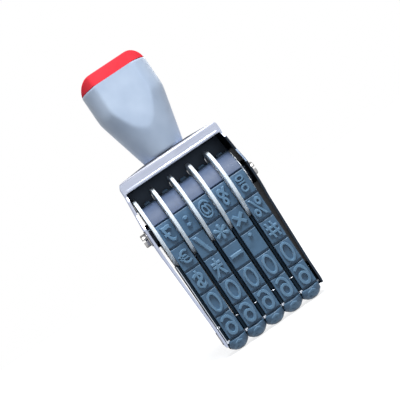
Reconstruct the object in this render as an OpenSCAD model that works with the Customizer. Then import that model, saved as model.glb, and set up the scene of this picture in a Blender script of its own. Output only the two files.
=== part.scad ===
// Hand numbering stamp with five rubber type bands.
// X runs across the bands, -Y is the front, +Z is up the handle.
// The origin is the centre of the printing face, which the stamp stands on.
// Sizes are in millimetres.

/* [Bands] */
// Distance from one band to the next
band_pitch = 10; // [9:0.5:13]
// Thickness of the belt under the type pads
belt_t = 1.5; // [1:0.1:2]
// Height of a type pad above the belt
pad_h = 1.3; // [0.8:0.1:1.8]
// Width of the groove between two type pads
groove_w = 0.9; // [0.5:0.1:1.5]
// Number of type pads on a band
pads = 14; // [12:1:16]
// How far the bands are turned past the square printing position
band_advance = 3; // [0:0.1:3.5]

/* [Thumbwheels] */
// Radius of the thumb disc
disc_r = 19; // [17:0.5:22]
// Thickness of the thumb disc
disc_t = 1.3; // [1.1:0.1:1.8]
// Radius of the corners of the disc's rim
rim_round = 0.3; // [0.2:0.1:0.5]
// Thickness of the thin lobed flange at the drum's other end
flange_t = 0.4; // [0.4:0.1:0.8]
// How far the lobes stand above the face of the band, or below it where negative
lobe_show = -0.3; // [-1:0.1:0.6]
// Number of lobes round the flange
lobes = 18; // [12:1:24]
// Radius over the lugs of the drum that drives the band
drum_r = 10.5; // [9.5:0.1:12]
// Number of flutes round the drum
flutes = 24; // [16:2:30]
// Radius of one flute
flute_r = 0.8; // [0.4:0.1:1]
// Wall of the drum's rim, under the flutes
rim_wall = 1.8; // [1.2:0.2:2.4]
// Radius of the hub round the axle
hub_r = 4.6; // [4:0.2:5.5]
// Thickness of the web that joins hub and rim
web_t = 2; // [1.4:0.2:3]

/* [Axle] */
// Height of the axle above the printing face
axle_h = 63.5; // [60:0.5:75]
// Radius of the axle
axle_r = 2.5; // [2:0.1:3]
// Radius of the screws' shanks in the axle's ends
axle_screw_r = 1.45; // [1:0.05:1.6]
// Depth of a screw in the axle's end
axle_screw_grip = 8; // [5:0.5:12]
// Radius of the screw heads
screw_head_r = 3.2; // [2.6:0.1:4]
// Height of the screw heads
screw_head_h = 2.5; // [2:0.1:4]
// Radius of the washers under the screw heads
axle_washer_r = 3.9; // [3.6:0.1:4.6]
// Thickness of those washers
axle_washer_t = 0.6; // [0.4:0.1:1]

/* [Frame] */
// Thickness of the frame's sheet steel
sheet = 1; // [0.8:0.1:1.4]
// Room for an end washer between the wheels and a cheek
end_room = 1.8; // [1.8:0.1:2.6]
// How much each cheek is drawn in at the bridge
bridge_draw = 1.4; // [0:0.1:2]
// How much each cheek is drawn in at the foot
foot_draw = 1.2; // [0:0.1:1.2]
// Room between the thumb discs and the top of the bridge
top_room = 9.6; // [9:0.2:16]
// Depth of the bridge, front to back
bridge_depth = 22; // [20:0.5:26]
// Drop of the bridge from the handle's seat to its ends
crown = 1.2; // [0.4:0.2:2]
// Height of the bridge's front and back aprons at the ends
apron_h = 5.3; // [4:0.1:6]
// Outside radius of the bends
bend_r = 2; // [1.5:0.1:3]
// Radius of the rolled bead along the front and back
hem_r = 0.8; // [0.5:0.1:1]
// How far the back wall reaches down past the aprons
back_wall_h = 9; // [7:0.5:10]
// Room round a thumb disc in its slot of the back wall
slot_gap = 0.3; // [0.3:0.1:0.6]
// How far the thumb discs stand out of the cheeks
disc_show = 2; // [1:0.5:5]

/* [Foot] */
// Depth of the flat part of the foot, front to back
foot_flat = 8.6; // [7:0.2:11]
// Radius of the foot's edges under the belt
foot_edge_r = 2; // [1.5:0.1:3]
// Height of the foot's top above the printing face
foot_top = 12.8; // [11:0.2:18]
// Height of the rivets above the printing face
rivet_h = 7.4; // [6.8:0.1:8]
// Radius of the rivets' shanks
rivet_r = 1.5; // [1:0.1:1.8]
// Radius of the rivets' heads
rivet_head_r = 3.4; // [2.5:0.1:3.6]
// Height of the rivets' heads
rivet_head_h = 0.4; // [0.3:0.1:1.2]
// Depth of a rivet in the foot
rivet_grip = 6; // [4:0.5:10]
// Room between a separator plate and the thumb disc above it
disc_room = 0.8; // [0.5:0.1:1.5]
// How much further the first separator plate reaches, towards the left cheek
end_plate_t = 0.4; // [0.2:0.1:0.5]

/* [Handle] */
// Radius of the neck where it stands on the bridge
neck_r = 10.5; // [9:0.1:10.9]
// Angle at which the neck flares
flare = 14.1; // [12:0.1:16]
// Width of the grip, which is round above the flare
grip_w = 34.4; // [30:0.2:38]
// Depth of the grip between its front and back flats
grip_d = 27.6; // [24:0.2:29]
// Height of the handle's body
handle_h = 41.6; // [38:0.2:50]
// Wall of the handle
handle_wall = 2.4; // [2:0.1:3]
// Thickness of the handle's floor
handle_floor = 4; // [3:0.5:6]
// Height of the cap
cap_h = 5.5; // [5:0.1:7]
// Radius of the cap's rounded shoulders
cap_edge_r = 7.6; // [7.2:0.1:10]
// Depth of the cap's plug in the handle
plug_depth = 5; // [3:0.5:8]
// Radius of the handle screw's shank
handle_screw_r = 2; // [1.5:0.1:2.5]
// Radius of the handle screw's head
handle_screw_head_r = 3.6; // [3:0.1:4.2]
// Height of the handle screw's head
handle_screw_head_h = 2.2; // [1.5:0.1:2.4]
// Radius of the washer under the bridge
handle_washer_r = 5.5; // [4.5:0.1:7]
// Thickness of that washer
handle_washer_t = 0.8; // [0.5:0.1:1.2]
// Radius of the boss that takes the handle screw
boss_r = 5; // [4:0.1:6]
// Height of the boss above the handle's base
boss_h = 20; // [14:0.5:24]

/* [Hidden] */
$fn = 96;

// Clearances
turning_gap = 0.05;  // round the axle, on the radius
side_gap = 0.1;      // each side of a thumbwheel
band_gap = 0.15;     // each side of a band
drum_gap = 0.3;      // between the drum's lugs and the belt
foot_gap = 0.1;      // between the foot and the belt
shank_gap = 0.05;    // round a screw or rivet, on the radius
plug_gap = 0.1;      // round the cap's plug
eps = 0.01;          // overlap of a cutter with the face it cuts

// Stack of wheels and bands along the axle
band_count = 5;
stack_w = band_count * band_pitch;
band_w = band_pitch - disc_t - flange_t - 2 * side_gap - 2 * band_gap;
inner_half = stack_w / 2 + end_room;   // to the cheeks' inner faces at the axle
axle_half = inner_half + sheet;        // to their outer faces
bridge_w_half = axle_half - bridge_draw;   // the same at the bridge
foot_w_half = axle_half - foot_draw;   // the same at the foot

// Belt line: over the drum and round the foot, in the YZ plane
belt_wheel_r = drum_r + drum_gap;
belt_foot_z = pad_h + belt_t + foot_edge_r;   // centre height of the foot's edges
foot_half = foot_flat / 2;
centres = norm([foot_half, axle_h - belt_foot_z]);
lean = asin((belt_wheel_r - foot_edge_r) / centres) - atan(foot_half / (axle_h - belt_foot_z));
run_len = sqrt(pow(centres, 2) - pow(belt_wheel_r - foot_edge_r, 2));
foot_line_r = foot_edge_r + belt_t / 2;
wheel_line_r = belt_wheel_r + belt_t / 2;
to_run = foot_half + foot_line_r * (90 - lean) * PI / 180;
to_wheel = to_run + run_len;
half_loop = to_wheel + wheel_line_r * (90 + lean) * PI / 180;
pad_pitch = 2 * half_loop / pads;

// Frame
bridge_top = axle_h + disc_r + top_room;
seat_half = neck_r + 1;                 // half of the flat that the handle stands on
bridge_end = bridge_top - crown;
apron_bottom = bridge_end - apron_h;
bridge_half = bridge_depth / 2;
cheek_half = disc_r - disc_show;        // half depth of a cheek at its widest
cheek_foot_half = foot_half + foot_edge_r + belt_t + pad_h + 0.6;
cheek_bottom = 3;                       // height of the cheeks' lower ends
notch_h = 1.2;                          // relief notch under the aprons

// Handle
seam = bridge_top + handle_h;
cap_top = seam + cap_h;
screw_room = boss_h - 3;                // depth of the handle screw's hole

// A polygon's points with each corner turned into an arc of the radius in the third value
function rounded(pts, steps = 8) = [
    for (i = [0 : len(pts) - 1])
        let (
            here = [pts[i][0], pts[i][1]],
            before = pts[(i + len(pts) - 1) % len(pts)],
            after = pts[(i + 1) % len(pts)],
            u = unit([before[0], before[1]] - here),
            v = unit([after[0], after[1]] - here),
            half = acos(max(-1, min(1, u * v))) / 2,
            r = pts[i][2]
        )
        if (r == 0) here
        else
            let (
                centre = here + unit(u + v) * r / sin(half),
                start = here + u * r / tan(half) - centre,
                end = here + v * r / tan(half) - centre,
                turn = 180 - 2 * half,
                side = sign(start[0] * end[1] - start[1] * end[0])
            )
            for (k = [0 : steps]) centre + spin(start, side * turn * k / steps)
];

function unit(v) = v / norm(v);
function spin(v, a) = [v[0] * cos(a) - v[1] * sin(a), v[0] * sin(a) + v[1] * cos(a)];

// Both sides of an outline given for +X only, as a closed outline
function both_sides(pts) = concat(
    pts,
    [for (i = [len(pts) - 1 : -1 : 0]) [-pts[i][0], pts[i][1], pts[i][2]]]
);

// Stands a YZ drawing up and extrudes it along X from x0 to x1
module along_x(x0, x1) {
    translate([x0, 0, 0]) rotate([90, 0, 90]) linear_extrude(x1 - x0) children();
}

// Stands an XZ drawing up and extrudes it along Y, depth d, centred
module along_y(d) {
    rotate([90, 0, 0]) linear_extrude(d, center = true) children();
}

// Cylinder along X from x0 to x1 at height z
module rod_x(r, x0, x1, z) {
    translate([x0, 0, z]) rotate([0, 90, 0]) cylinder(r = r, h = x1 - x0);
}

// Left end of a unit of disc and band, 0 to 4 from the left
function unit_x(i) = -stack_w / 2 + i * band_pitch;

// ---- Belt line ----

// Where the belt is after a length s from the middle of the foot, up the front:
// [y and z of the centre it bends about, direction of its outside, radius to its inside]
function station(s) =
    s < 0 ? mirrored(station(-s))
    : s < foot_half ? [-s, belt_foot_z, -90, foot_edge_r]
    : s < to_run ? [-foot_half, belt_foot_z, -90 - (s - foot_half) / foot_line_r * 180 / PI, foot_edge_r]
    : s < to_wheel ? [
        -foot_half - (s - to_run) * sin(lean),
        belt_foot_z + (s - to_run) * cos(lean),
        180 + lean, foot_edge_r
    ]
    : [0, axle_h, 180 + lean - (s - to_wheel) / wheel_line_r * 180 / PI, belt_wheel_r];

function mirrored(p) = [-p[0], p[1], 180 - p[2], p[3]];

// Points of an arc from angle a0 to a1
function arc(centre, r, a0, a1, steps) =
    [for (k = [0 : steps]) centre + spin([r, 0], a0 + (a1 - a0) * k / steps)];

// Front half of the belt line moved outwards by e, from the foot's front edge to the top of the wheel
function front_loop(e) = concat(
    arc([-foot_half, belt_foot_z], foot_edge_r + e, -90, -180 + lean, 10),
    arc([0, axle_h], belt_wheel_r + e, 180 + lean, 90, 28)
);

// Filled outline of the belt line, moved outwards by e
module loop(e) {
    front = front_loop(e);
    polygon(concat(front, [for (i = [len(front) - 2 : -1 : 0]) [-front[i][0], front[i][1]]]));
}

// Endless rubber band with a row of type pads round it
module band(i) {
    left = unit_x(i) + side_gap + disc_t + band_gap;
    color("slategray") along_x(left, left + band_w) difference() {
        loop(belt_t + pad_h);
        loop(0);
        for (k = [0 : pads - 1]) {
            s = (k + 0.5) * pad_pitch + band_advance;
            p = station(s > half_loop ? s - 2 * half_loop : s);
            translate([p[0], p[1]]) rotate(p[2])
                translate([p[3] + belt_t, -groove_w / 2]) square([2 * pad_h, groove_w]);
        }
    }
}

// ---- Thumbwheels ----

// Outline of the flange, with a hollow between each lobe and the next
module lobed_disc() {
    r = belt_wheel_r + belt_t + pad_h + lobe_show;
    hollow = r * sin(180 / lobes) * 0.9;
    difference() {
        circle(r = r);
        for (k = [0 : lobes - 1]) rotate(k * 360 / lobes)
            translate([r + 0.6 * hollow, 0]) circle(r = hollow, $fn = 32);
    }
}

// White moulded wheel: a thin disc to turn it by, a fluted drum that carries the band, and a thin
// lobed flange that keeps the band on
module thumbwheel(i) {
    x0 = unit_x(i) + side_gap;
    drum_x1 = unit_x(i + 1) - side_gap;
    color("white") translate([x0, 0, axle_h]) rotate([0, 90, 0]) difference() {
        union() {
            rotate_extrude() polygon(rounded([
                [0, 0, 0], [disc_r, 0, rim_round], [disc_r, disc_t, rim_round], [0, disc_t, 0]
            ], 4));
            linear_extrude(drum_x1 - x0) difference() {
                circle(r = drum_r);
                for (k = [0 : flutes - 1]) rotate(k * 360 / flutes)
                    translate([drum_r, 0]) circle(r = flute_r, $fn = 24);
            }
            translate([0, 0, drum_x1 - x0 - flange_t]) linear_extrude(flange_t) lobed_disc();
        }
        translate([0, 0, -eps]) cylinder(r = axle_r + turning_gap, h = band_pitch);
        translate([0, 0, disc_t + web_t]) difference() {
            cylinder(r = drum_r - flute_r - rim_wall, h = band_pitch);
            translate([0, 0, -eps]) cylinder(r = hub_r, h = band_pitch + 1);
        }
    }
}

// ---- Axle and its fasteners ----

module axle() {
    color("silver") difference() {
        rod_x(axle_r, -inner_half, inner_half, axle_h);
        for (side = [-1, 1]) mirror([side < 0 ? 1 : 0, 0, 0])
            rod_x(axle_screw_r + shank_gap, inner_half - axle_screw_grip - 1, inner_half + 1, axle_h);
    }
}

// One slotted screw, standing out of the right cheek
module axle_screw() {
    head_x = axle_half + axle_washer_t;
    edge = 0.5;
    slot_w = 0.9;
    slot_depth = 1.3;
    difference() {
        union() {
            rod_x(axle_screw_r, inner_half - axle_screw_grip, head_x + eps, axle_h);
            translate([head_x, 0, axle_h]) rotate([0, 90, 0]) rotate_extrude() {
                square([screw_head_r - edge, screw_head_h]);
                square([screw_head_r, screw_head_h - edge]);
                translate([screw_head_r - edge, screw_head_h - edge]) circle(r = edge, $fn = 24);
            }
        }
        translate([head_x + screw_head_h - slot_depth, -slot_w / 2, axle_h - 2 * screw_head_r])
            cube([2 * slot_depth, slot_w, 4 * screw_head_r]);
    }
}

module axle_screws() {
    color("silver") {
        axle_screw();
        mirror([1, 0, 0]) axle_screw();
    }
}

module axle_washers() {
    color("silver") for (side = [0, 1]) mirror([side, 0, 0]) difference() {
        rod_x(axle_washer_r, axle_half, axle_half + axle_washer_t, axle_h);
        rod_x(axle_screw_r + shank_gap, axle_half - 1, axle_half + axle_washer_t + 1, axle_h);
    }
}

// Flat washers that keep the outer wheels off the cheeks
module end_washers() {
    x0 = stack_w / 2 + side_gap / 2;
    x1 = inner_half - side_gap / 2;
    color("silver") for (side = [0, 1]) mirror([side, 0, 0]) difference() {
        rod_x(hub_r + 1.4, x0, x1, axle_h);
        rod_x(axle_r + turning_gap, x0 - 1, x1 + 1, axle_h);
    }
}

// ---- Frame ----

// Outline of the frame seen from the front, each face moved inwards by t
function front_outline(t) = both_sides([
    [foot_w_half - t, cheek_bottom - (t > 0 ? 1 : 0), 0],
    [foot_w_half - t, foot_top + 2, 0],
    [axle_half - t, axle_h - axle_washer_r - 6, 0],
    [axle_half - t, axle_h + axle_washer_r + 2, 0],
    [bridge_w_half - t, apron_bottom, 0],
    [bridge_w_half - t, bridge_end - t, bend_r - t],
    [seat_half, bridge_top - t, 0]
]);

// Outline of the frame seen from the side
function side_outline() = both_sides([
    [cheek_foot_half - 2, cheek_bottom, 0],
    [cheek_foot_half, cheek_bottom + 2.5, 1.5],
    [cheek_foot_half + 0.4, foot_top, 0],
    [cheek_half - 4.6, axle_h - 14, 12],
    [cheek_half - 0.5, axle_h - 5, 3],
    [cheek_half, axle_h + 4, 1.5],
    [bridge_half + 2, axle_h + 11.5, 1],
    [bridge_half + 2, apron_bottom - 3.4, 1],
    [bridge_half + 0.4, apron_bottom - notch_h, 0],
    [bridge_half - 1.3, apron_bottom - notch_h, 0],
    [bridge_half - 1.3, apron_bottom, 0],
    [bridge_half, apron_bottom, 0],
    [bridge_half, bridge_top + crown, 0]
]);

// Outline of the bridge alone seen from the side, moved inwards by t
module bridge_side(t, bottom) {
    polygon(rounded(both_sides([
        [bridge_half - t, bottom, 0],
        [bridge_half - t, bridge_top - t, bend_r - t]
    ])));
}

// Wall behind the thumb discs, with a slot for each of them to stand out of
module back_wall() {
    inner = bridge_half - sheet;
    slot_top = axle_h + sqrt(pow(disc_r, 2) - pow(inner, 2)) + slot_gap;
    difference() {
        intersection() {
            along_y(4 * cheek_half) polygon(rounded(front_outline(0)));
            translate([-axle_half, inner, apron_bottom - back_wall_h])
                cube([2 * axle_half, sheet, back_wall_h + 1]);
        }
        for (i = [0 : band_count - 1])
            translate([unit_x(i) + side_gap - slot_gap, inner - 1, apron_bottom - back_wall_h - 1])
                cube([disc_t + 2 * slot_gap, sheet + 2, slot_top - apron_bottom + back_wall_h + 1]);
    }
}

// One sheet of steel folded into a bridge with aprons, a back wall and two long cheeks
module frame() {
    color("gainsboro") difference() {
        union() {
            difference() {
                intersection() {
                    along_y(4 * cheek_half) polygon(rounded(front_outline(0)));
                    along_x(-axle_half, axle_half) polygon(rounded(side_outline()));
                    union() {
                        along_x(-axle_half, axle_half) bridge_side(0, apron_bottom - eps);
                        translate([-axle_half, -2 * cheek_half, 0])
                            cube([2 * axle_half, 4 * cheek_half, apron_bottom]);
                    }
                }
                intersection() {
                    along_y(4 * cheek_half + 1) polygon(rounded(front_outline(sheet)));
                    union() {
                        along_x(-axle_half, axle_half) bridge_side(sheet, apron_bottom - 1);
                        translate([-axle_half, -2 * cheek_half, -eps])
                            cube([2 * axle_half, 4 * cheek_half, apron_bottom]);
                    }
                }
            }
            for (side = [-1, 1])
                translate([0, side * (bridge_half - hem_r / 2), 0])
                    rod_x(hem_r, -bridge_w_half + bend_r, bridge_w_half - bend_r, apron_bottom + hem_r);
            back_wall();
        }
        rod_x(axle_screw_r + shank_gap, -axle_half - 1, axle_half + 1, axle_h);
        rod_x(rivet_r + shank_gap, -axle_half - 1, axle_half + 1, rivet_h);
        translate([0, 0, bridge_top - 2 * sheet])
            cylinder(r = handle_screw_r + shank_gap, h = 4 * sheet);
    }
}

// ---- Foot ----

// Outline of the foot, e outside the belt line
module foot_side(e) {
    intersection() {
        loop(e);
        translate([-cheek_foot_half, 0]) square([2 * cheek_foot_half, foot_top]);
    }
}

// Outline of a separator plate, which reaches up between two bands to the thumb disc above it
module separator_side() {
    top = axle_h - disc_r / 2;
    difference() {
        intersection() {
            loop(-foot_gap);
            translate([-cheek_half, rivet_h]) square([2 * cheek_half, top - rivet_h]);
        }
        translate([0, axle_h]) circle(r = disc_r + disc_room);
    }
}

// Bar that the bands slide round. To the left of each band it has a fin, with a separator plate
// above it. The first plate is thicker, to fill the room at the left cheek.
module foot() {
    half = foot_w_half - sheet;
    color("dimgray") difference() {
        union() {
            along_x(-half, half) foot_side(-foot_gap);
            for (i = [0 : band_count - 1]) {
                gap_x0 = i == 0 ? -half : unit_x(i) - side_gap;
                gap_x1 = unit_x(i) + side_gap + disc_t;
                along_x(gap_x0, gap_x1) foot_side(belt_t);
                along_x(i == 0 ? -stack_w / 2 - end_plate_t : gap_x1 - disc_t, gap_x1) separator_side();
            }
        }
        for (side = [0, 1]) mirror([side, 0, 0])
            rod_x(rivet_r + shank_gap, half - rivet_grip - 1, half + 1, rivet_h);
    }
}

module foot_rivets() {
    color("silver") for (side = [0, 1]) mirror([side, 0, 0]) {
        rod_x(rivet_r, foot_w_half - sheet - rivet_grip, foot_w_half + eps, rivet_h);
        rod_x(rivet_head_r, foot_w_half, foot_w_half + rivet_head_h / 2, rivet_h);
        translate([foot_w_half + rivet_head_h / 2, 0, rivet_h]) rotate([0, 90, 0])
            cylinder(r1 = rivet_head_r, r2 = rivet_head_r - rivet_head_h, h = rivet_head_h / 2);
    }
}

// ---- Handle ----

// Flared neck that runs out into a round grip with a flat front and back, each face moved inwards by t
module grip(t, z0, z1) {
    r0 = neck_r - t / cos(flare) + (z0 - bridge_top) * tan(flare);
    translate([0, 0, z0]) intersection() {
        cylinder(r1 = r0, r2 = r0 + (z1 - z0) * tan(flare), h = z1 - z0);
        cylinder(r = grip_w / 2 - t, h = z1 - z0);
        translate([-grip_w, t - grip_d / 2, 0]) cube([2 * grip_w, grip_d - 2 * t, z1 - z0]);
    }
}

module handle() {
    color("lightsteelblue") difference() {
        union() {
            difference() {
                grip(0, bridge_top, seam);
                grip(handle_wall, bridge_top + handle_floor, seam + eps);
            }
            translate([0, 0, bridge_top + eps]) cylinder(r = boss_r, h = boss_h - eps);
        }
        translate([0, 0, bridge_top - 1])
            cylinder(r = handle_screw_r + shank_gap, h = screw_room + 1);
    }
}

// Red cap with rounded shoulders, a flat front and back, and a plug that goes down into the handle
module handle_cap() {
    plug = handle_wall + plug_gap;
    plug_wall = 2;
    start = asin(1 - cap_h / cap_edge_r);                 // where a shoulder meets the seam
    shoulder = [grip_w / 2 - cap_edge_r * cos(start), cap_h - cap_edge_r];
    color("crimson") {
        translate([0, 0, seam]) intersection() {
            along_y(grip_d) polygon(concat(
                arc(shoulder, cap_edge_r, start, 90, 12),
                arc([-shoulder[0], shoulder[1]], cap_edge_r, 90, 180 - start, 12)
            ));
            cylinder(r = grip_w / 2, h = cap_h);
        }
        difference() {
            grip(plug, seam - plug_depth, seam + eps);
            grip(plug + plug_wall, seam - plug_depth - 1, seam - eps);
        }
    }
}

module handle_screw() {
    head_top = bridge_top - sheet - handle_washer_t;
    color("silver") translate([0, 0, head_top]) difference() {
        union() {
            translate([0, 0, -handle_screw_head_h]) cylinder(r = handle_screw_head_r, h = handle_screw_head_h);
            cylinder(r = handle_screw_r, h = bridge_top + screw_room - 1 - head_top);
        }
        translate([-handle_screw_head_r, -0.5, -handle_screw_head_h - 1])
            cube([2 * handle_screw_head_r, 1, 2]);
    }
}

module handle_washer() {
    color("silver") translate([0, 0, bridge_top - sheet - handle_washer_t]) difference() {
        cylinder(r = handle_washer_r, h = handle_washer_t);
        translate([0, 0, -1]) cylinder(r = handle_screw_r + shank_gap, h = handle_washer_t + 2);
    }
}

frame();
foot();
foot_rivets();
axle();
axle_screws();
axle_washers();
end_washers();
thumbwheel(0);  // thumbwheel_1
thumbwheel(1);  // thumbwheel_2
thumbwheel(2);  // thumbwheel_3
thumbwheel(3);  // thumbwheel_4
thumbwheel(4);  // thumbwheel_5
band(0);  // band_1
band(1);  // band_2
band(2);  // band_3
band(3);  // band_4
band(4);  // band_5
handle();
handle_cap();
handle_screw();
handle_washer();
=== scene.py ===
# %% [markdown]
# # A hand numbering stamp with five rubber type bands
# The stamp is a folded steel frame that holds five white thumbwheels on one axle. Each wheel
# carries an endless rubber band that runs down, round a steel foot, and back up. Raised type stands
# on the band, and the pad that lies under the foot prints. The solid model already fixes every size
# and place, so this script dresses it: it rounds edges, bends the rubber, cuts the type and gives
# each material its finish. Sizes are written in millimetres and turned to metres by MM.

# %% Load the solid model as a fixed frame
import math

import bmesh
import bpy
from mathutils import Matrix, Vector


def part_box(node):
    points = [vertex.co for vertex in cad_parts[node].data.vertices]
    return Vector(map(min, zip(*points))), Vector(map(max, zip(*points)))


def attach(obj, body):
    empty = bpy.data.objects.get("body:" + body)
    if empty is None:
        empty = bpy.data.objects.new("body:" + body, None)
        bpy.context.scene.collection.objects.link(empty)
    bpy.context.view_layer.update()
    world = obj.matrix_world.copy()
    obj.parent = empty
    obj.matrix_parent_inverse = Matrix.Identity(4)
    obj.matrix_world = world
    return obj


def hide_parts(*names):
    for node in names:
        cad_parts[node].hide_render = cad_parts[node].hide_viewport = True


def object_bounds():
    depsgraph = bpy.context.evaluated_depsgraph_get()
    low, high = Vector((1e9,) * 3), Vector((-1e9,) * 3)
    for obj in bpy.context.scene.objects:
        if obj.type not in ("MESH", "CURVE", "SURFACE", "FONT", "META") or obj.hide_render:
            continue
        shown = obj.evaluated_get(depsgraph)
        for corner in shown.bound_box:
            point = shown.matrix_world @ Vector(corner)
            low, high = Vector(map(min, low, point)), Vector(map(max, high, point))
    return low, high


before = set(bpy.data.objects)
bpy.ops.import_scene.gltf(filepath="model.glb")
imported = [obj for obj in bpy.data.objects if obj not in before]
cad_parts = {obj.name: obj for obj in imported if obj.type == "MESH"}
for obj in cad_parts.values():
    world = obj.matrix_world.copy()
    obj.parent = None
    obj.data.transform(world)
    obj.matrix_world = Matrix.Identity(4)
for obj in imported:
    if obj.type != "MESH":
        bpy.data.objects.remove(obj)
cad_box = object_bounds()
MM = 0.001
STAMP = "stamp"


def size_of(node):
    """Lowest and highest corner of a solid, in millimetres."""
    low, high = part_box(node)
    return Vector(low) / MM, Vector(high) / MM


print("overall, mm:", [round((b - a) / MM, 1) for a, b in zip(*cad_box)])

# %% [markdown]
# ## The belt's path
# Everything on a band follows one line: under the foot, round its edge, up a straight run, over the
# wheel and down again. A function that gives the point at a length along that line lets the band
# and its type be made flat, where they are easy to shape, and bent into place afterwards. The
# foot's and the wheel's sizes are those of the solids. Where the pads lie under the foot and turn
# its edges they are pressed and rubbed most, so there they have slumped into round lobes.

# %% Lengths that set the path
BELT = 1.5  # thickness of the band under its pads
PAD = 1.3  # height of a pad
GROOVE = 0.9  # width between two pads
PADS = 14
ADVANCE = 3.0  # how far the bands are turned past the square position
DRUM_GAP = 0.3  # air between the drum and the band
DRUM_R = 10.5
FOOT_FLAT_HALF = 4.3  # half the depth of the flat under the foot
FOOT_EDGE_R = 2.0  # radius of the foot's lower edges

axle_low, axle_high = size_of("axle")
AXLE_Z = (axle_low.z + axle_high.z) / 2
WHEEL_R = DRUM_R + DRUM_GAP
FOOT_Z = PAD + BELT + FOOT_EDGE_R
rise = AXLE_Z - FOOT_Z
centres = math.hypot(FOOT_FLAT_HALF, rise)
LEAN = math.asin((WHEEL_R - FOOT_EDGE_R) / centres) - math.atan(FOOT_FLAT_HALF / rise)
FOOT_LINE_R = FOOT_EDGE_R + BELT / 2
WHEEL_LINE_R = WHEEL_R + BELT / 2
TO_RUN = FOOT_FLAT_HALF + FOOT_LINE_R * (math.pi / 2 - LEAN)
TO_WHEEL = TO_RUN + math.sqrt(centres**2 - (WHEEL_R - FOOT_EDGE_R) ** 2)
HALF_LOOP = TO_WHEEL + WHEEL_LINE_R * (math.pi / 2 + LEAN)
PITCH = 2 * HALF_LOOP / PADS
print("band length, mm:", round(2 * HALF_LOOP, 1), "pad pitch, mm:", round(PITCH, 2))


# %% The point at a length along the path
def belt_point(s, out):
    """(y, z) at length s from the middle of the foot, up the front, out mm off the inner face."""
    s = (s + HALF_LOOP) % (2 * HALF_LOOP) - HALF_LOOP
    if s < 0:
        y, z = belt_point(-s, out)
        return -y, z
    if s < FOOT_FLAT_HALF:
        return -s, FOOT_Z - FOOT_EDGE_R - out
    if s < TO_RUN:
        turn = -math.pi / 2 - (s - FOOT_FLAT_HALF) / FOOT_LINE_R
        reach, y, z = FOOT_EDGE_R + out, -FOOT_FLAT_HALF, FOOT_Z
    elif s < TO_WHEEL:
        turn = math.pi + LEAN
        along = s - TO_RUN
        y = -FOOT_FLAT_HALF - along * math.sin(LEAN)
        reach, z = FOOT_EDGE_R + out, FOOT_Z + along * math.cos(LEAN)
    else:
        turn = math.pi + LEAN - (s - TO_WHEEL) / WHEEL_LINE_R
        reach, y, z = WHEEL_R + out, 0.0, AXLE_Z
    return y + reach * math.cos(turn), z + reach * math.sin(turn)


print("the front run meets the wheel at z, mm:", round(belt_point(TO_WHEEL, 0)[1], 1))

# %% How the rubber slumps and bends
SLUMP_EASE = 1.2  # length on either side of the foot's edge over which the slump fades out
LOBE_RISE = 1.15  # how far the middle of a slumped pad stands out
LOBE_FALL = 2.35  # how far its sides fall back from there
TYPE_PRESSED = 0.92  # share of the type's height that is pressed flat there
PAD_SPREADS = 0.26  # share of its width by which a slumped pad spreads
PAD_LEANS = 0.95  # how far it leans to the left


def eased(value, low, high):
    """0 up to low, 1 from high, with a soft start and end in between."""
    k = min(max((value - low) / (high - low), 0.0), 1.0)
    return k * k * (3 - 2 * k)


def slump(s):
    """How far the rubber has slumped at length s: 1 under the foot, 0 up on the runs."""
    s = abs((s + HALF_LOOP) % (2 * HALF_LOOP) - HALF_LOOP)
    return 1 - eased(s, TO_RUN - SLUMP_EASE, TO_RUN + SLUMP_EASE)


def bend_round(bm, x, half_width):
    """Bends a flat mesh, drawn in mm with its length along Y, round the belt path at place x."""
    for v in bm.verts:
        low = slump(v.co.y)
        side = min(abs(v.co.x) / half_width, 1.0)
        pad = min(max((v.co.z - BELT) / PAD, 0.0), 1.0)
        relief = max(v.co.z - BELT - PAD, 0.0)
        lobe = low * (pad * (LOBE_RISE - LOBE_FALL * side**2) - TYPE_PRESSED * relief)
        y, z = belt_point(v.co.y, v.co.z + lobe)
        across = x + v.co.x * (1 + PAD_SPREADS * low * pad) - PAD_LEANS * low * pad
        v.co = Vector((across, y, z)) * MM


print("slump under the foot:", slump(0), "and half way up the run:", slump((TO_RUN + TO_WHEEL) / 2))

# %% [markdown]
# ## Colours and shader nodes
# Colours are written as hex values, as a paint chart gives them, and turned to linear light by one
# function. One more function adds a shader node with its settings and links, so that each material
# reads as a short list.


# %% Colour and node helpers
def colour(hex_code):
    """Linear RGBA of an sRGB hex colour, by the numbers of the sRGB standard."""
    parts = [int(hex_code[i : i + 2], 16) / 255 for i in (1, 3, 5)]
    return [p / 12.92 if p <= 0.04045 else ((p + 0.055) / 1.055) ** 2.4 for p in parts] + [1.0]


def add_node(tree, kind, settings=None, values=None, links=None):
    """Adds a node. Settings are its properties, values its sockets, and links feed its sockets."""
    node = tree.nodes.new(kind)
    for key, value in (settings or {}).items():
        setattr(node, key, value)
    for key, value in (values or {}).items():
        node.inputs[key].default_value = value
    for key, output in (links or {}).items():
        tree.links.new(output, node.inputs[key])
    return node


def new_material(name, values):
    """A material with its Principled shader set to these values, and its object coordinates."""
    material = bpy.data.materials.new(name)
    material.use_nodes = True
    tree = material.node_tree
    shader = tree.nodes["Principled BSDF"]
    for key, value in values.items():
        shader.inputs[key].default_value = value
    place = add_node(tree, "ShaderNodeTexCoord")
    return material, tree, shader, place


def grain(tree, place, size_mm, stretch=(1, 1, 1), detail=3.0):
    """A pattern whose marks are size_mm across, stretched along each axis by a factor."""
    scale = [1 / (size_mm * MM * k) for k in stretch]
    mapped = add_node(
        tree,
        "ShaderNodeMapping",
        values={"Scale": scale},
        links={"Vector": place.outputs["Object"]},
    )
    noise = add_node(
        tree,
        "ShaderNodeTexNoise",
        values={"Scale": 1.0, "Detail": detail},
        links={"Vector": mapped.outputs["Vector"]},
    )
    return noise.outputs["Fac"]


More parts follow.
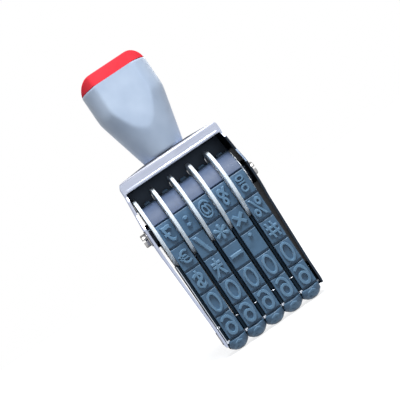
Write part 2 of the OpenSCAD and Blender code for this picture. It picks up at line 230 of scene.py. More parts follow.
def clouded(tree, shader, pattern, dark, pale):
    """Base colour that drifts between two hex colours with a pattern."""
    tint = add_node(
        tree,
        "ShaderNodeMix",
        {"data_type": "RGBA"},
        {6: colour(dark), 7: colour(pale)},
        {"Factor": pattern},
    )
    tree.links.new(tint.outputs[2], shader.inputs["Base Color"])


def skinned(tree, shader, pattern, smooth, rough, depth_mm, strength):
    """Roughness that drifts between two values with a pattern, and a relief of a real depth."""
    drift = add_node(tree, "ShaderNodeMix", values={2: smooth, 3: rough}, links={"Factor": pattern})
    tree.links.new(drift.outputs[0], shader.inputs["Roughness"])
    bump = add_node(
        tree,
        "ShaderNodeBump",
        values={"Strength": strength, "Distance": depth_mm * MM},
        links={"Height": pattern},
    )
    tree.links.new(bump.outputs["Normal"], shader.inputs["Normal"])


print("#808080 in linear light:", round(colour("#808080")[0], 3))

# %% [markdown]
# ## Nickel-plated sheet steel
# The frame is mild steel sheet, folded and then plated with nickel. Plating follows every mark of
# the rolling mill, so the sheet has faint lines along its length and a soft, slightly cool shine.
# The inner faces of the folds are painted dark, as painted shade. The free edge of the right cheek
# is painted dark too, as a painted dark reflection, and the left one stays bright. Screws, washers
# and rivets are plated too, and are smoother, because they were turned or stamped. The floors of
# the screws' slots and the end washers are painted dark as shade. The foot is painted near black, a
# painted dark reflection on its steel, and bands across its fins and a strip on its end plate are
# painted bright, as painted highlights. The bends round the bridge are painted a darker grey,
# painted shade that tones down the lamp's highlight there. Each of these is a steel of its own
# here, and faces are given to it by where they are. Real mill marks are finer than a tenth of a
# millimetre. They are drawn at half a millimetre or more, so that they show.


# %% The steels
STEEL_CLOUD = 14.0  # size of the patches in which the colour drifts
STEEL_DEPTH = 0.01  # depth of the marks
RELIEF_SHOWN = 0.35  # how much of a hard surface's relief is shown
ROLLED = (30, 1, 1)  # mill marks are thirty times as long as they are wide


def steel(name, dark, pale, smooth, rough, grain_mm, stretch=(1, 1, 1), edge="#FFFFFF"):
    """A steel between two colours and two roughnesses. Edge tints its grazing reflection."""
    values = {"Metallic": 1.0, "Specular Tint": colour(edge)}
    material, tree, shader, place = new_material(name, values)
    clouded(tree, shader, grain(tree, place, STEEL_CLOUD), dark, pale)
    marks = grain(tree, place, grain_mm, stretch)
    skinned(tree, shader, marks, smooth, rough, STEEL_DEPTH, RELIEF_SHOWN)
    return material


SHEET = steel("nickel_plated_sheet", "#9DA4B8", "#BFC5D4", 0.26, 0.48, 0.5, ROLLED, "#AEB4C8")
TURNED = steel("nickel_plated_turned", "#8B8A8A", "#B3B1AE", 0.14, 0.34, 0.6, edge="#38393D")
# A darker steel painted on the bridge's bends, as shade that tones down the lamp's highlight there.
BEND_SHADE_STEEL = steel("nickel_plated_bend_shade", "#54565E", "#70727A", 0.3, 0.5, 0.6, edge="#5A5B60")
# A dark steel, painted as shade inside the frame, in the screws' slots and on the end washers, and
# as a dark reflection on the right cheek's edge.
SHADE_STEEL = steel("painted_shade_steel", "#242A32", "#303741", 0.2, 0.45, 0.5, edge="#4A4E57")
# The foot's steel is painted near black, a painted dark reflection.
DARK_REFLECTION_STEEL = steel("blackened_steel", "#0C1720", "#222E39", 0.3, 0.5, 1.0, edge="#7C838C")
# A bright steel for the painted highlights on the foot.
HIGHLIGHT_STEEL = steel("steel_painted_highlight", "#B9C0CA", "#CBD2DB", 0.25, 0.45, 0.5)
print("made", SHEET.name, TURNED.name, BEND_SHADE_STEEL.name, SHADE_STEEL.name, DARK_REFLECTION_STEEL.name, HIGHLIGHT_STEEL.name)

# %% [markdown]
# ## Plastics and rubber
# The grip and the wheels are injection-moulded styrene-type plastic: an even colour, a fine grain
# from the mould, and a soft highlight. The red cap is given no clear highlight at all, so that its
# red stays even under the lamps. The real grain is a tenth of a millimetre or finer, and is drawn
# three to five times as coarse, so that it shows. The bands are vulcanised rubber, dyed slate blue.
# Their skin is satin, with a faint bloom that clouds the colour, and it lets through no light at
# all. Old ink stays on the pads between the strokes of the type and darkens them. The faces of the
# type are wiped by each print and stay paler. The blank pad is painted a greyer blue, a painted
# sheen for the light that falls on it over the wheel.


# %% Plastics and rubber
STYRENE_CLOUD = 9.0  # size of the patches in which the colour drifts
STYRENE_DEPTH = 0.02  # depth of the mould's grain
STYRENE_DRIFT = 0.12  # how far the roughness drifts either way
RUBBER_CLOUD = 4.0
RUBBER_GRAIN = 0.3
RUBBER_DEPTH = 0.03
RUBBER_DRIFT = 0.18
BLOOM_SHOWN = 0.4  # how much of the rubber's relief is shown


def moulded(name, dark, pale, roughness, grain_mm, glow_mm=0.0, shine=0.5):
    """A moulded plastic. Light wanders glow_mm inside it, and shine is how clear it reflects."""
    material, tree, shader, place = new_material(name, {"IOR": 1.5, "Specular IOR Level": shine})
    if glow_mm:
        shader.inputs["Subsurface Weight"].default_value = 0.7
        shader.inputs["Subsurface Radius"].default_value = (1.0, 1.0, 1.0)
        shader.inputs["Subsurface Scale"].default_value = glow_mm * MM
    clouded(tree, shader, grain(tree, place, STYRENE_CLOUD, detail=2.0), dark, pale)
    skin = grain(tree, place, grain_mm, detail=2.0)
    smooth, rough = roughness - STYRENE_DRIFT, roughness + STYRENE_DRIFT
    skinned(tree, shader, skin, smooth, rough, STYRENE_DEPTH, RELIEF_SHOWN)
    return material


def vulcanised(name, dark, pale, roughness):
    """A rubber that drifts between two colours, with a faint sheen."""
    values = {"IOR": 1.52, "Sheen Weight": 0.12, "Sheen Roughness": 0.4}
    material, tree, shader, place = new_material(name, values)
    clouded(tree, shader, grain(tree, place, RUBBER_CLOUD, detail=4.0), dark, pale)
    skin = grain(tree, place, RUBBER_GRAIN, detail=2.0)
    smooth, rough = roughness - RUBBER_DRIFT, roughness + RUBBER_DRIFT
    skinned(tree, shader, skin, smooth, rough, RUBBER_DEPTH, BLOOM_SHOWN)
    return material


GREY = moulded("grey_styrene", "#98A9C1", "#B3C3D7", 0.4, 0.35)
RED = moulded("red_styrene", "#E43440", "#F24A56", 0.45, 0.5, shine=0.0)
WHITE = moulded("white_styrene", "#D2E4FC", "#E8F4FF", 0.35, 0.4, glow_mm=3.0)
INKED = vulcanised("slate_rubber_inked", "#284860", "#486A88", 0.48)
# The blank pad's greyer blue is a painted sheen.
SHEEN_RUBBER = vulcanised("slate_rubber_painted_sheen", "#344562", "#475874", 0.62)
WIPED = vulcanised("slate_rubber_wiped", "#486986", "#60839E", 0.48)
print("made", GREY.name, RED.name, WHITE.name, INKED.name, SHEEN_RUBBER.name, WIPED.name)

# %% [markdown]
# ## Finishing a piece
# A finished piece keeps its place in its mesh, so its object stays at the origin, unturned. It
# rides on the body that carries it, takes its materials, and hides the solids that it stands for.
# Smooth shading is kept off the real edges by marking them sharp by angle. The edges of a wide flat
# are marked too, or the shading of the bends round it would smear across it.


# %% From mesh to piece
FOLD = math.radians(1)  # a flat ends where the next face turns away by more than this
FLAT_AREA = 20 * MM**2  # a face larger than this is a flat


def round_edges(bm, edges, offset, segments):
    """Bevels these edges to a round."""
    bmesh.ops.bevel(
        bm,
        geom=edges,
        offset=offset,
        offset_type="OFFSET",
        segments=segments,
        profile=0.5,
        affect="EDGES",
        clamp_overlap=True,
        material=-1,
    )


def split_faces(bm, axis, place, unit, same):
    """Splits the faces at a place on an axis. Points closer than same count as on the cut."""
    plane = Vector((0, 0, 0))
    plane[axis] = 1
    bmesh.ops.bisect_plane(
        bm,
        geom=bm.verts[:] + bm.edges[:] + bm.faces[:],
        dist=same,
        plane_co=plane * place * unit,
        plane_no=plane,
    )


def finish_piece(bm, name, materials, body, solids=(), crease=35):
    """Makes the mesh an object that rides on a body and stands for these solids."""
    mesh = bpy.data.meshes.new(name)
    for face in bm.faces:
        face.smooth = True
    bm.edges.index_update()
    folds = [
        e.index
        for e in bm.edges
        if e.is_manifold
        and e.calc_face_angle() > FOLD
        and max(f.calc_area() for f in e.link_faces) > FLAT_AREA
    ]
    bm.to_mesh(mesh)
    bm.free()
    mesh.set_sharp_from_angle(angle=math.radians(crease))
    for index in folds:
        mesh.edges[index].use_edge_sharp = True
    for material in materials if isinstance(materials, (list, tuple)) else [materials]:
        mesh.materials.append(material)
    piece = bpy.data.objects.new(name, mesh)
    bpy.context.scene.collection.objects.link(piece)
    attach(piece, body)
    if solids:
        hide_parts(*solids)
    print(name, "has", len(mesh.polygons), "faces")
    return piece


print("a flat is over", round(FLAT_AREA / MM**2), "mm2, a fold over", round(math.degrees(FOLD), 1))

# %% Dressing a solid
SOLID_WELD = 0.002  # points of a solid that are closer than this are one
LEVEL = math.radians(0.5)  # faces that differ by less than this are one flat
EDGE_ANGLE = math.radians(30)  # an edge sharper than this is rounded
EDGE_SEGMENTS = 2
CUT_REACH = 1e-7  # a point closer than this to a cut, in metres, counts as on it


def dressed(node, name, material, body, edge=0.15, cuts=()):
    """A copy of a solid with its sharp edges rounded, as tumbling, plating or a mould leaves them.

    Its faces are split at each cut, an axis and a place in mm, so that they can differ in finish.
    """
    bm = bmesh.new()
    bm.from_mesh(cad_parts[node].data)
    bmesh.ops.remove_doubles(bm, verts=bm.verts, dist=SOLID_WELD * MM)
    bmesh.ops.dissolve_limit(
        bm, angle_limit=LEVEL, verts=bm.verts, edges=bm.edges, use_dissolve_boundaries=False
    )
    sharp = [e for e in bm.edges if e.is_manifold and e.calc_face_angle() > EDGE_ANGLE]
    round_edges(bm, sharp, edge * MM, EDGE_SEGMENTS)
    for axis, place in cuts:
        split_faces(bm, axis, place, MM, CUT_REACH)
    return finish_piece(bm, name, material, body, [node])


def repaint(piece, material, belongs):
    """Gives the material to each face that belongs, by its middle in mm and its normal."""
    piece.data.materials.append(material)
    painted = 0
    for face in piece.data.polygons:
        if belongs(face.center / MM, face.normal):
            face.material_index = len(piece.data.materials) - 1
            painted += 1
    print(material.name, "is on", painted, "faces of", piece.name)


print("edges sharper than", round(math.degrees(EDGE_ANGLE)), "degrees are rounded")

# %% [markdown]
# ## The frame, the foot and the fasteners
# These solids have the right shape already. What they lack is the small round that folding,
# tumbling and plating give to each edge, and that catches the light, so each is copied and
# bevelled.

# %% Metal pieces
sheet = dressed("frame", "folded_frame", SHEET, STAMP, edge=0.33)
END_PLATE = (-25.2, -24.85)  # a strip along the edges of the end plate, painted bright as a highlight
FIN_HIGHLIGHTS = ((4.2, 5.4), (12.55, 12.9))  # heights at which bands across the fins are painted bright, as highlights
cuts = [(0, x) for x in END_PLATE] + [(2, z) for span in FIN_HIGHLIGHTS for z in span]
# The foot is painted near black as a dark reflection, and cut so that painted highlights can go on
# it.
foot = dressed("foot", "belt_foot", DARK_REFLECTION_STEEL, STAMP, cuts=cuts)
dressed("foot_rivets", "foot_rivet_pair", TURNED, STAMP)
screws = dressed("axle_screws", "axle_screw_pair", TURNED, STAMP, edge=0.12)
# Both screws are turned a quarter, so that their slots point forwards.
for v in screws.data.vertices:
    v.co.y, v.co.z = AXLE_Z * MM - v.co.z, AXLE_Z * MM + v.co.y
dressed("axle_washers", "axle_washer_pair", TURNED, STAMP, edge=0.08)
for node, metal in (
    ("axle", TURNED),
    # The end washers take the dark steel, painted shade in the gap beside the outer wheels.
    ("end_washers", SHADE_STEEL),
    ("handle_screw", TURNED),
    ("handle_washer", TURNED),
):
    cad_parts[node].data.materials.clear()
    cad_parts[node].data.materials.append(metal)

# %% Which faces get painted shade, and which get painted highlights
MIDDLE = Vector((0, 0, 84))  # a point inside the frame, under the bridge
LOOKS_IN = 1.0  # a face is an inner one when MIDDLE is more than this in front of it
CHEEK_X = 25.3  # the cheeks are outside this
TURNS_IN = 0.3  # a cheek's face is an inner one when its normal points in by more than this
APRON_Z = 83.0  # the free edges of the cheeks are below this
EDGE_TURN = 0.6  # and their normals point sideways by less than this
BEND_Z = 88.0  # the bridge bends over above this, where a darker steel is painted as shade
BEND_TURN = (0.12, 0.99)  # how far up the normals of the bend point
FIN_FRONT = 0.5  # the front and the back of a fin point forwards or back by more than this
SLOT_LEVEL = 0.4  # a face whose middle is this close to the axle's height is level with the slots


def inside_fold(at, normal):
    """Whether a face of the frame looks inwards."""
    inwards = abs(at.x) > CHEEK_X and normal.x * at.x < -TURNS_IN * abs(at.x)
    return inwards or normal.dot(MIDDLE - at) > LOOKS_IN


# The right cheek's free edge is painted dark, a painted dark reflection; the left one stays bright.
def cut_edge(at, normal):
    """Whether a face is on the free edge of the right cheek."""
    return at.x > CHEEK_X and at.z < APRON_Z and abs(normal.x) < EDGE_TURN


def painted_dark(at, normal):
    """Whether a face of the frame is painted dark: painted shade on its inner faces, and a painted
    dark reflection on the right cheek's free edge.
    """
    return inside_fold(at, normal) or cut_edge(at, normal)


def on_bend(at, normal):
    """Whether a face is on one of the bends on the four sides of the bridge."""
    return at.z > BEND_Z and BEND_TURN[0] < normal.z < BEND_TURN[1]


def level_with_slot(at, normal):
    """Whether a face of the screws is level with the slots.

    The floors of the slots are, and so are a strip at each side of the heads and some faces that
    the washers and the axle hide.
    """
    return abs(at.z - AXLE_Z) < SLOT_LEVEL


def painted_highlight(at, normal):
    """Whether a face of the foot gets a painted highlight."""
    end_plate = END_PLATE[0] < at.x < END_PLATE[1] and at.z > FIN_HIGHLIGHTS[0][0]
    in_span = any(low < at.z < high for low, high in FIN_HIGHLIGHTS)
    return end_plate or abs(normal.y) > FIN_FRONT and in_span


# Painted shade on the frame's inner faces, and a painted dark reflection on the right cheek's free
# edge.
repaint(sheet, SHADE_STEEL, painted_dark)
# Painted highlights on bands across the fins and on the end plate's edges.
repaint(foot, HIGHLIGHT_STEEL, painted_highlight)
# The bridge's bends get the darker steel, painted shade against the lamp's highlight.
repaint(sheet, BEND_SHADE_STEEL, on_bend)
# Faces level with the slots are painted dark, as painted shade in the slots.
repaint(screws, SHADE_STEEL, level_with_slot)

# %% [markdown]
# ## The thumbwheels
# Each wheel is one moulding: a thin disc that a fingertip turns, a fluted drum that grips the
# inside of the band, and a thin lobed flange at the other end that keeps the band from creeping
# off. The disc grows a little thicker towards its rim, which gives the fingertip more to turn.

# %% Wheels
RIM_R = 17.0  # outside this radius a vertex belongs to the rim
RIM_GROWS = (0.18, 0.13)  # how far the rim stands out of the disc's left and right face
NUMBERS = range(1, 6)  # wheels and bands are numbered from the left
for number in NUMBERS:
    body = f"wheel_{number}"
    piece = f"wheel_{number}_moulding"
    wheel = dressed(f"thumbwheel_{number}", piece, WHITE, body, edge=0.12)
    places = [v.co for v in wheel.data.vertices]
    rim = [co for co in places if math.hypot(co.y, co.z - AXLE_Z * MM) > RIM_R * MM]
    middle_x = (min(co.x for co in rim) + max(co.x for co in rim)) / 2
    for co in rim:
        co.x += (RIM_GROWS[1] if co.x > middle_x else -RIM_GROWS[0]) * MM

# %% [markdown]
# ## The rubber bands
# A band is moulded flat and joined into a loop. One pad with its stretch of belt is drawn from the
# side, extruded to the band's width, rounded along its upper edges, and cut both ways every
# millimetre so that it can bend. Fourteen of these in a row, welded and bent round the path, close
# the loop.

# %% One band
BAND_STEP = 1.0  # length between two cuts across the band
PAD_DRAFT = 0.15  # how much a pad narrows towards its top, at each end
PAD_ROUND = 0.3
PAD_SEGMENTS = 3
SAME = 1e-6  # places closer than this are the same
HAIR = 0.05  # a hair's breadth, to pick points beside a line
BAND_WELD = 0.01
CELL_REACH = 1e-5  # a point closer than this to a cut counts as on it
BLANK = 6  # the pad without type, counted up the front from the one under the foot
JOINT_Y = -PITCH / 2 + GROOVE / 2 + PAD_DRAFT + PAD_ROUND + HAIR
JOINT_REACH = 0.6  # the blank covers the band's joint and nearly closes the groove below it


def flat_cell(width):
    """One pad on its stretch of belt, flat, in mm."""
    half, top = PITCH / 2, BELT + PAD
    foot_y, top_y = half - GROOVE / 2, half - GROOVE / 2 - PAD_DRAFT
    side = [(-half, 0), (half, 0), (half, BELT), (foot_y, BELT), (top_y, top)]
    side += [(-top_y, top), (-foot_y, BELT), (-half, BELT)]
    bm = bmesh.new()
    face = bm.faces.new([bm.verts.new((-width / 2, y, z)) for y, z in side])
    wall = bmesh.ops.extrude_face_region(bm, geom=[face])
    moved = [v for v in wall["geom"] if isinstance(v, bmesh.types.BMVert)]
    bmesh.ops.translate(bm, verts=moved, vec=(width, 0, 0))
    ends = [f for f in bm.faces if all(abs(abs(v.co.y) - half) < SAME for v in f.verts)]
    bmesh.ops.delete(bm, geom=ends, context="FACES")
    closed = [e for e in bm.edges if len(e.link_faces) == 2]
    rim = [e for e in closed if all(v.co.z > top - SAME for v in e.verts)]
    round_edges(bm, rim, PAD_ROUND, PAD_SEGMENTS)
    for axis, length in ((0, width), (1, PITCH)):
        count = math.ceil(length / BAND_STEP)
        for k in range(1, count):
            split_faces(bm, axis, k * length / count - length / 2, 1, CELL_REACH)
    return bm


def rubber_band(number):
    """A band of pads in a row, bent round the path until its ends meet."""
    low, high = size_of(f"band_{number}")
    bm = flat_cell(high.x - low.x)
    cell = bm.verts[:] + bm.edges[:] + bm.faces[:]
    for k in range(1, PADS):
        copy = bmesh.ops.duplicate(bm, geom=cell)
        moved = [v for v in copy["geom"] if isinstance(v, bmesh.types.BMVert)]
        # The blank pad takes the greyer rubber, a painted sheen.
        if k == BLANK:
            for face in copy["geom"]:
                if isinstance(face, bmesh.types.BMFace):
                    face.material_index = 1
            for v in moved:
                if v.co.z > BELT + HAIR and v.co.y < JOINT_Y:
                    v.co.y -= JOINT_REACH
        bmesh.ops.translate(bm, verts=moved, vec=(0, k * PITCH, 0))
    bmesh.ops.translate(bm, verts=bm.verts, vec=(0, ADVANCE, 0))
    bend_round(bm, (low.x + high.x) / 2, (high.x - low.x) / 2)
    bmesh.ops.remove_doubles(bm, verts=bm.verts, dist=BAND_WELD * MM)
    bmesh.ops.recalc_face_normals(bm, faces=bm.faces)
    name = f"band_{number}_rubber"
    finish_piece(bm, name, (INKED, SHEEN_RUBBER), STAMP, [f"band_{number}"], crease=40)


print("a pad and its groove:", round(PITCH, 2), "mm, and a pad alone:", round(PITCH - GROOVE, 2))

# %% Five bands
for number in NUMBERS:
    rubber_band(number)

# %% [markdown]
# ## The type
# The type is reversed, so that it prints the right way round. On the front of the stamp, with the
# handle up, each character is upside down, because the band turns under the foot before it prints.
# Each character starts as a text curve with a small bevel, which gives the sloping sides of moulded
# type. It is squeezed to its size on the pad, and its underside is made flat just below the pad's
# surface, where it is rooted in the rubber.

# %% What stands on the pads
DIGITS = "1234567890"
LOWEST = DIGITS.index("8")  # the 8 is under the foot
DIGIT_SIZE = (5.8, 10.2)  # width and height
ONE_SIZE = (3.0, 8.6)
# Three pads of signs for each band, from the digits upwards. Each sign has its width, its height
# and its place along the pad, because a full stop stands on the line and not in the middle.
SIGNS = [
    [[("$", 5.0, 9.4, 0)], [("€", 5.6, 7.0, 0)], [("£", 5.0, 8.4, 0)]],
    [[("¥", 5.8, 9.0, 0)], [("/", 5.6, 9.4, 0)], [(":", 2.5, 5.4, 0.4)]],
    [[("-", 6.4, 1.9, 0)], [("*", 6.8, 8.2, 0)], [("@", 6.2, 9.0, 0)]],
    [[(".", 2.0, 2.0, 3.9)], [("×", 6.0, 6.6, 0)], [("&", 5.2, 8.6, 0)]],
    [
        [("#", 6.0, 8.2, 0)],
        [("%", 6.2, 9.4, 0)],
        [("o", 3.9, 4.2, -1.9), ("-", 3.4, 1.0, 1.0), ("o", 4.3, 2.7, 3.0)],
    ],
]
RELIEF = 1.2  # height of the type above its pad
ROOT = 0.25  # depth of its root in the pad
print("characters on each band:", [len(DIGITS) + len(pads) for pads in SIGNS])

# %% Two drawn digits
# The 9 and the 0 are rounder and fuller than the font's: the 9 has a large ring and a tail that
# curls far round. They are drawn upright in mm, each as its outline and then its hole.
NINE_TAIL = [(2.75, 0.2), (2.75, -1.0), (2.45, -2.6), (1.7, -4.0), (0.5, -4.85), (-0.8, -4.95)]
NINE_TAIL += [(-2.0, -4.4), (-2.9, -3.3), (-2.3, -2.5), (-1.5, -3.0), (-0.8, -3.55), (-0.2, -3.6)]
NINE_TAIL += [(0.4, -3.2), (0.9, -2.4), (1.2, -1.7)]


def oval(x, y, rx, ry, first=0, last=-350, count=35):
    """Points of an oval round a centre, from one angle to another."""
    turns = [math.radians(first + (last - first) * k / count) for k in range(count + 1)]
    return [(x + rx * math.cos(a), y + ry * math.sin(a)) for a in turns]


DRAWN = {
    "9": [NINE_TAIL + oval(-0.1, 1.7, 2.75, 3.3, -58, -360, 30), oval(-0.1, 1.6, 1.2, 1.85)],
    "0": [oval(0, 0, 2.7, 4.9), oval(0, 0, 1.4, 3.6)],
}
print("points in the drawn outlines:", {key: [len(o) for o in DRAWN[key]] for key in DRAWN})

# %% One character, bent onto its band
DRAWN_SLOPE = 0.25  # bevel of the drawn digits, taken off inside their outlines
FONT_SLOPE = 0.35  # bevel of the font's characters
LONG_EDGE = 2.0  # an edge longer than this is divided, so that it can bend
TYPE_WELD = 0.001


def outlines(text):
    """The curve of a character, upright and about 10 mm tall."""
    if text in DRAWN:
        font = bpy.data.curves.new("character", "CURVE")
        font.dimensions = "2D"
        font.fill_mode = "BOTH"
        for outline in DRAWN[text]:
            line = font.splines.new("POLY")
            line.points.add(len(outline) - 1)
            for point, (px, py) in zip(line.points, outline):
                point.co = (px, py, 0, 1)
            line.use_cyclic_u = True
        font.bevel_depth = DRAWN_SLOPE
        font.offset = -DRAWN_SLOPE
    else:
        font = bpy.data.curves.new("character", "FONT")
        font.body = text
        font.size = 10
        font.resolution_u = 3
        font.bevel_depth = FONT_SLOPE
    font.bevel_resolution = 1
    return font


def character(text, width, height, x, s, half_width):
    """A moulded character of this size at place x and length s along the band."""
    font = outlines(text)
    carrier = bpy.data.objects.new("character", font)
    bpy.context.scene.collection.objects.link(carrier)
    evaluated = carrier.evaluated_get(bpy.context.evaluated_depsgraph_get())
    mesh = bpy.data.meshes.new_from_object(evaluated)
    bm = bmesh.new()
    bm.from_mesh(mesh)
    bpy.data.objects.remove(carrier)
    bpy.data.curves.remove(font)
    bpy.data.meshes.remove(mesh)
    bmesh.ops.remove_doubles(bm, verts=bm.verts, dist=TYPE_WELD)
    xs = [v.co.x for v in bm.verts]
    ys = [v.co.y for v in bm.verts]
    top = max(v.co.z for v in bm.verts)
    for v in bm.verts:
        v.co.x = (v.co.x - (min(xs) + max(xs)) / 2) * width / (max(xs) - min(xs))
        v.co.y = -(v.co.y - (min(ys) + max(ys)) / 2) * height / (max(ys) - min(ys))
        v.co.z = v.co.z / top * RELIEF if v.co.z > -SAME else -ROOT
        v.co.z += BELT + PAD
    long = [e for e in bm.edges if e.calc_length() > LONG_EDGE]
    bmesh.ops.subdivide_edges(bm, edges=long, cuts=3, use_grid_fill=True)
    bmesh.ops.translate(bm, verts=bm.verts, vec=(0, s, 0))
    bend_round(bm, x, half_width)
    bmesh.ops.recalc_face_normals(bm, faces=bm.faces)
    part = bpy.data.meshes.new("character")
    bm.to_mesh(part)
    bm.free()
    return part


print("type stands", RELIEF, "mm above its pad and is rooted", ROOT, "mm deep")


# %% All the characters of one band
def band_type(number):
    """The digits and signs of a band, as one piece."""
    low, high = size_of(f"band_{number}")
    x, half_width = (low.x + high.x) / 2, (high.x - low.x) / 2
    whole = bmesh.new()
    parts = []
    for k, digit in enumerate(DIGITS):
        s = ADVANCE + (k - LOWEST) * PITCH
        width, height = ONE_SIZE if digit == "1" else DIGIT_SIZE
        parts.append(character(digit, width, height, x, s, half_width))
    for k, marks in enumerate(SIGNS[number - 1]):
        s = ADVANCE + (k + len(DIGITS) - LOWEST) * PITCH
        for sign, width, height, place in marks:
            parts.append(character(sign, width, height, x, s + place, half_width))
    for part in parts:
        whole.from_mesh(part)
        bpy.data.meshes.remove(part)
    finish_piece(whole, f"band_{number}_type", WIPED, STAMP, crease=30)


for number in NUMBERS:
    band_type(number)

# %% [markdown]
# ## The handle and its cap
# The grip is turned in shape: a cone that eases into a straight round body. A flat on the front and
# one on the back tell the fingers which way the type faces. A lathe shape gives the round part.
# Each point is then drawn in wherever it would stand outside a flat, and the change is eased, so
# the edges between cone and flats are soft as on the moulding.

# %% Grip
neck_low, neck_high = size_of("handle")
BASE_Z, SEAM_Z = neck_low.z, neck_high.z
NECK_R = 10.5  # radius at the lower end
FLARE = math.radians(14.1)  # angle between the cone and the axis
GRIP_R = (neck_high.x - neck_low.x) / 2
FLAT_Y = (neck_high.y - neck_low.y) / 2
EASE = 80  # how sharply one surface takes over from another
LATHE_STEPS = 128
LATHE_WELD = 0.001
LIP = 0.4  # chamfer of the lower edge
SEAM_LIP = (0.2, 0.3)  # width and height of the chamfer at the seam with the cap
CONE_START = 1  # height of the cone's first ring above the lower edge
GRIP_RINGS = 56


def turned(outline):
    """A lathe shape from (radius, height) points that start and end on the axis, in mm."""
    bm = bmesh.new()
    verts = [bm.verts.new((r, 0, z)) for r, z in outline]
    edges = [bm.edges.new(pair) for pair in zip(verts, verts[1:])]
    bmesh.ops.spin(
        bm,
        geom=verts + edges,
        cent=(0, 0, 0),
        axis=(0, 0, 1),
        angle=math.tau,
        steps=LATHE_STEPS,
        use_merge=True,
    )
    bmesh.ops.remove_doubles(bm, verts=bm.verts, dist=LATHE_WELD)
    return bm


def drawn_in(value, limit, ease=EASE):
    """The value, drawn in so that it stays below a limit, with a soft change."""
    return value * (1 + (abs(value) / limit) ** ease) ** (-1 / ease)


def press_flats(bm):
    """Draws the lathe shape in to the two flats, with soft edges, and turns mm to metres."""
    for v in bm.verts:
        v.co.y = drawn_in(v.co.y, FLAT_Y)
        v.co *= MM
    bmesh.ops.recalc_face_normals(bm, faces=bm.faces)


def grip_r(z):
    """Radius of the grip at a height: the cone, eased into the round body."""
    return drawn_in(NECK_R + (z - BASE_Z) * math.tan(FLARE), GRIP_R)


def steps_between(a, b, count):
    """Evenly spaced values from a to b."""
    return [a + (b - a) * k / count for k in range(count + 1)]


body_line = [(0, BASE_Z), (NECK_R - LIP, BASE_Z), (NECK_R, BASE_Z + LIP)]
ring_heights = steps_between(BASE_Z + CONE_START, SEAM_Z - SEAM_LIP[1], GRIP_RINGS)
body_line += [(grip_r(z), z) for z in ring_heights]
body_line += [(grip_r(SEAM_Z) - SEAM_LIP[0], SEAM_Z), (0, SEAM_Z)]
grip = turned(body_line)
press_flats(grip)
finish_piece(grip, "grip_moulding", GREY, STAMP, ["handle"], crease=40)

# %% [markdown]
# ## The cap
# The cap keeps the grip's outline, so its front and back are flat up to the top, and its two
# shoulders are rounded away. It starts as a lathe shape with a small round at the top edge. The
# flats press it in as they do the grip, and at each height the arc of the shoulders presses it in
# from the sides.

# %% Cap
CAP_TOP = size_of("handle_cap")[1].z
SHOULDER_R = 7.6
TOP_ROUND = 0.5
SEAM_GAP = 0.02
CAP_BASE = SEAM_Z + SEAM_GAP
CAP_LIP = 0.2  # chamfer of the cap's lower edge
CAP_EASE = 60
WALL_START = 0.5  # height of the wall's first ring above the cap's lower edge
WALL_RINGS = 14
ROUND_START = 0.2  # angle at which the round at the top edge gets its first ring
ROUND_RINGS = 6
TOP_RINGS = 8
cap_h = CAP_TOP - SEAM_Z
shoulder_x = GRIP_R - SHOULDER_R * math.cos(math.asin(1 - cap_h / SHOULDER_R))


def shoulder_at(z):
    """How far the cap reaches to the side at a height."""
    return shoulder_x + math.sqrt(SHOULDER_R**2 - (z - CAP_TOP + SHOULDER_R) ** 2)


def top_inset(z):
    """How far the round at the top edge draws a face in at a height."""
    above = max(z - CAP_TOP + TOP_ROUND, 0.0)
    return TOP_ROUND - math.sqrt(TOP_ROUND**2 - above**2)


cap_line = [(0, CAP_BASE), (GRIP_R - CAP_LIP, CAP_BASE), (GRIP_R, CAP_BASE + CAP_LIP)]
ring_heights = steps_between(CAP_BASE + WALL_START, CAP_TOP - TOP_ROUND, WALL_RINGS)
cap_line += [(GRIP_R, z) for z in ring_heights]
for angle in steps_between(ROUND_START, math.pi / 2, ROUND_RINGS):
    z = CAP_TOP - TOP_ROUND * (1 - math.sin(angle))
    cap_line.append((GRIP_R - top_inset(z), z))
cap_line += [(GRIP_R * k / TOP_RINGS, CAP_TOP) for k in range(TOP_RINGS - 1, -1, -1)]
cap = turned(cap_line)
for v in cap.verts:
    v.co.x = drawn_in(v.co.x, shoulder_at(v.co.z) - top_inset(v.co.z), CAP_EASE)
    v.co.y = drawn_in(v.co.y, FLAT_Y - top_inset(v.co.z), CAP_EASE)
    v.co *= MM
bmesh.ops.recalc_face_normals(cap, faces=cap.faces)
finish_piece(cap, "red_cap_moulding", RED, STAMP, ["handle_cap"], crease=40)

# %% [markdown]
# ## Floor, light and camera
# The stamp stands on a plain pale floor in soft studio light: one lamp high in front, a weak one
# from the other side, a third behind, and an even white surround. The camera sees floor and
# surround as white paper. Close to the stamp the paper glows less, so that the stamp's shadow shows
# on it.


# %% Floor and surround
FLOOR_GAP = 0.05  # keeps the floor clear of the lowest point
SCATTERED = 0.12  # strength of the surround as a light


def plain_view(tree):
    """1 where the camera, a reflection or a see-through surface looks, 0 for scattered light."""
    path = add_node(tree, "ShaderNodeLightPath")
    seen = path.outputs["Is Camera Ray"]
    for kind in ("Is Glossy Ray", "Is Transmission Ray"):
        seen = add_node(
            tree, "ShaderNodeMath", {"operation": "MAXIMUM"}, links={0: seen, 1: path.outputs[kind]}
        ).outputs[0]
    return seen


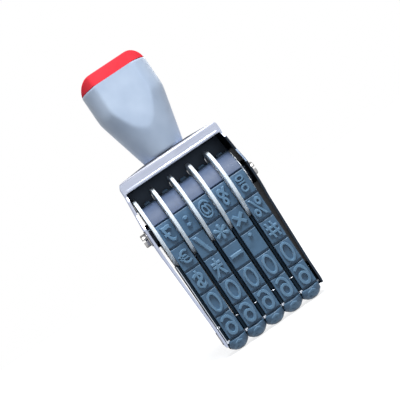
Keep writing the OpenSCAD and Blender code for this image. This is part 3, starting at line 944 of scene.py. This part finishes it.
low_point = min(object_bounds()[0].z, cad_box[0].z)
bm = bmesh.new()
bmesh.ops.create_grid(bm, x_segments=1, y_segments=1, size=3.0)
bmesh.ops.translate(bm, verts=bm.verts, vec=(0, 0, low_point - FLOOR_GAP * MM))
floor_mesh = bpy.data.meshes.new("pale_floor")
bm.to_mesh(floor_mesh)
bm.free()
floor = bpy.data.objects.new("pale_floor", floor_mesh)
bpy.context.scene.collection.objects.link(floor)
paper, tree, shader, place = new_material(
    "pale_paper",
    {"Base Color": colour("#86898E"), "Roughness": 0.9, "Emission Color": (1.0, 1.0, 1.0, 1.0)},
)
far = add_node(
    tree, "ShaderNodeVectorMath", {"operation": "LENGTH"}, links={0: place.outputs["Object"]}
)
glow = add_node(
    tree,
    "ShaderNodeMapRange",
    values={"From Min": 0.1, "From Max": 0.6, "To Min": 0.78, "To Max": 1.0},
    links={"Value": far.outputs["Value"]},
)
shown = add_node(
    tree,
    "ShaderNodeMath",
    {"operation": "MULTIPLY"},
    links={0: glow.outputs["Result"], 1: plain_view(tree)},
)
tree.links.new(shown.outputs[0], shader.inputs["Emission Strength"])
floor_mesh.materials.append(paper)

world = bpy.data.worlds.new("studio")
bpy.context.scene.world = world
world.use_nodes = True
around = world.node_tree.nodes["Background"]
around.inputs["Color"].default_value = colour("#FFFFFF")
white = add_node(
    world.node_tree,
    "ShaderNodeMix",
    values={2: SCATTERED, 3: 1.0},
    links={"Factor": plain_view(world.node_tree)},
)
world.node_tree.links.new(white.outputs[0], around.inputs["Strength"])
print("floor at z, mm:", round(low_point / MM - FLOOR_GAP, 2))


# %% Lamps
def lamp(name, place, target, width, watts):
    """A soft box of this width at a place, in metres, turned to a target."""
    data = bpy.data.lights.new(name, "AREA")
    data.shape = "SQUARE"
    data.size = width
    data.energy = watts
    box = bpy.data.objects.new(name, data)
    bpy.context.scene.collection.objects.link(box)
    box.location = place
    box.rotation_euler = (Vector(target) - Vector(place)).to_track_quat("-Z", "Y").to_euler()
    print(name, "lamp:", watts, "W")


middle = (0, 0, 0.08)
lamp("key", (0.13, -0.36, 0.71), middle, 0.3, 10.2)
lamp("fill", (-0.7, -0.3, 0.5), middle, 0.5, 1.0)
lamp("back", (0.3, 0.6, 0.45), middle, 0.5, 2.0)

# %% Camera
AIM = Vector((1.5, 0, 65.07)) * MM
AWAY = 546 * MM
TURN = math.radians(4.19)  # camera to the stamp's left
RISE = math.radians(0.39)  # looking slightly up
ROLL = math.radians(34.19)
flat = math.cos(RISE)
forward = Vector((math.sin(TURN) * flat, math.cos(TURN) * flat, math.sin(RISE)))
level = Vector((math.cos(TURN), -math.sin(TURN), 0))
upward = level.cross(forward)
right = math.cos(ROLL) * level - math.sin(ROLL) * upward
up = right.cross(forward)
camera_data = bpy.data.cameras.new("camera")
camera_data.lens = 107.0
camera_data.sensor_width = 36
camera_data.sensor_fit = "HORIZONTAL"
camera_data.clip_start = 0.01
camera = bpy.data.objects.new("camera", camera_data)
bpy.context.scene.collection.objects.link(camera)
camera.matrix_world = Matrix(
    (
        (right.x, up.x, -forward.x, (AIM - AWAY * forward).x),
        (right.y, up.y, -forward.y, (AIM - AWAY * forward).y),
        (right.z, up.z, -forward.z, (AIM - AWAY * forward).z),
        (0, 0, 0, 1),
    )
)
bpy.context.scene.camera = camera
bpy.context.scene.view_settings.view_transform = "Standard"
print("camera at, m:", [round(c, 3) for c in camera.matrix_world.translation])
